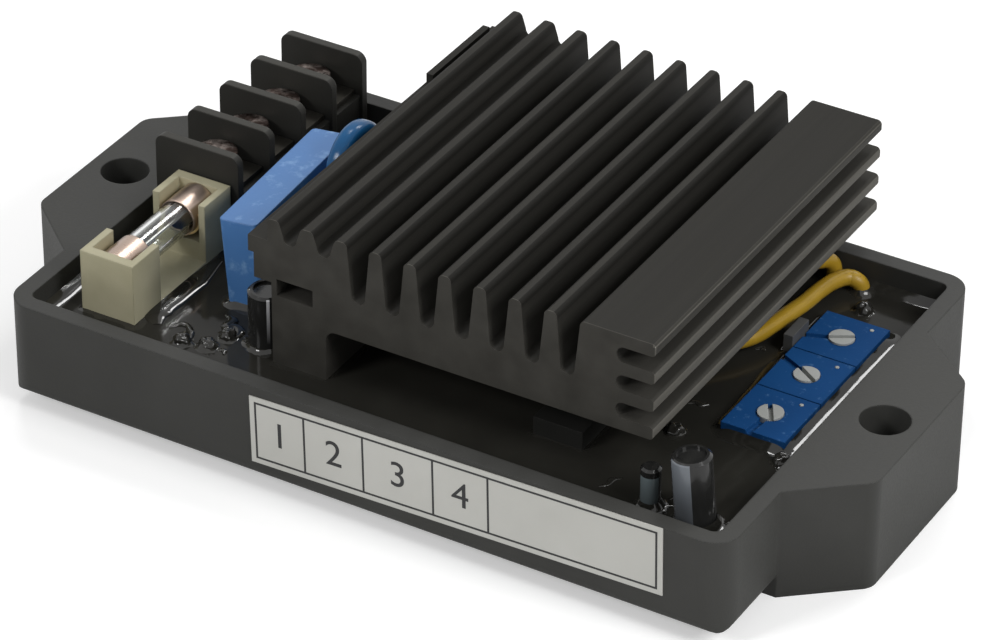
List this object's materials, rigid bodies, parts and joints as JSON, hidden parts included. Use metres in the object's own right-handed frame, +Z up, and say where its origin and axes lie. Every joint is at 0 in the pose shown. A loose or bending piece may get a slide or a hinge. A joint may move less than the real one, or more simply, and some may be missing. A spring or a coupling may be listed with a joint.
{
  "type": "automatic voltage regulator",
  "caption": "Potted voltage regulator for a small generator: black tray with bolt-down ears, finned heat sink, fuse, barrier strip and trimmers.",
  "frame": {"origin": "midway between the two bolt holes, at the plane of the ears' undersides", "axes": "+X along the label face to the right, +Y to the back, +Z up out of the tray"},
  "size_m": [0.1224, 0.0706, 0.0333],
  "materials": {
    "black_moulding": "satin",
    "resin": "gloss",
    "board": "satin",
    "black_anodised": "matt anodised",
    "zinc_steel": "plated",
    "tinned_steel": "tinned",
    "spring_brass": "tinned",
    "cap_metal": "polished",
    "fuse_glass": "clear",
    "beige_moulding": "satin",
    "device_epoxy": "matt",
    "grey_epoxy": "matt",
    "light_blue_box": "satin",
    "blue_epoxy": "gloss",
    "black_sleeve": "gloss",
    "yellow_insulation": "satin",
    "blue_moulding": "satin",
    "white_moulding": "satin",
    "white_label": "matt print"
  },
  "bodies": {
    "regulator": {"tray": "black_moulding", "terminal_block": "black_moulding", "potting": "resin", "circuit_board": "board", "heat_sink": "black_anodised", "heat_sink_screws": "zinc_steel", "device_screws": "zinc_steel", "terminal_screws": "zinc_steel", "terminal_plates": "tinned_steel", "fuse_wire": "tinned_steel", "fuse_clips": "spring_brass", "fuse_caps": "cap_metal", "fuse_glass": "fuse_glass", "fuse_holder": "beige_moulding", "thyristor": "device_epoxy", "flywheel_diode": "device_epoxy", "snubber_capacitor": "device_epoxy", "coated_resistors": "device_epoxy", "standing_diode": "device_epoxy", "chip_capacitor": "grey_epoxy", "film_capacitor": "light_blue_box", "varistor": "blue_epoxy", "small_capacitor": "black_sleeve", "electrolytic_capacitor": "black_sleeve", "lead_a": "yellow_insulation", "lead_b": "yellow_insulation", "trimmer_body_1": "blue_moulding", "trimmer_body_2": "blue_moulding", "trimmer_body_3": "blue_moulding", "label": "white_label"},
    "rotor_1": {"trimmer_rotor_1": "white_moulding"},
    "rotor_2": {"trimmer_rotor_2": "white_moulding"},
    "rotor_3": {"trimmer_rotor_3": "white_moulding"}
  },
  "joints": [
    {"name": "trimmer_1_turn", "type": "hinge", "parent": "regulator", "child": "rotor_1", "pos_m": [0.04175, 0.0166, 0.0125], "axis": [0, 0, 1], "range_deg": [-165, 105]},
    {"name": "trimmer_2_turn", "type": "hinge", "parent": "regulator", "child": "rotor_2", "pos_m": [0.04175, 0.0069, 0.0125], "axis": [0, 0, 1], "range_deg": [-102, 168]},
    {"name": "trimmer_3_turn", "type": "hinge", "parent": "regulator", "child": "rotor_3", "pos_m": [0.04175, -0.0028, 0.0125], "axis": [0, 0, 1], "range_deg": [-75, 195]}
  ]
}
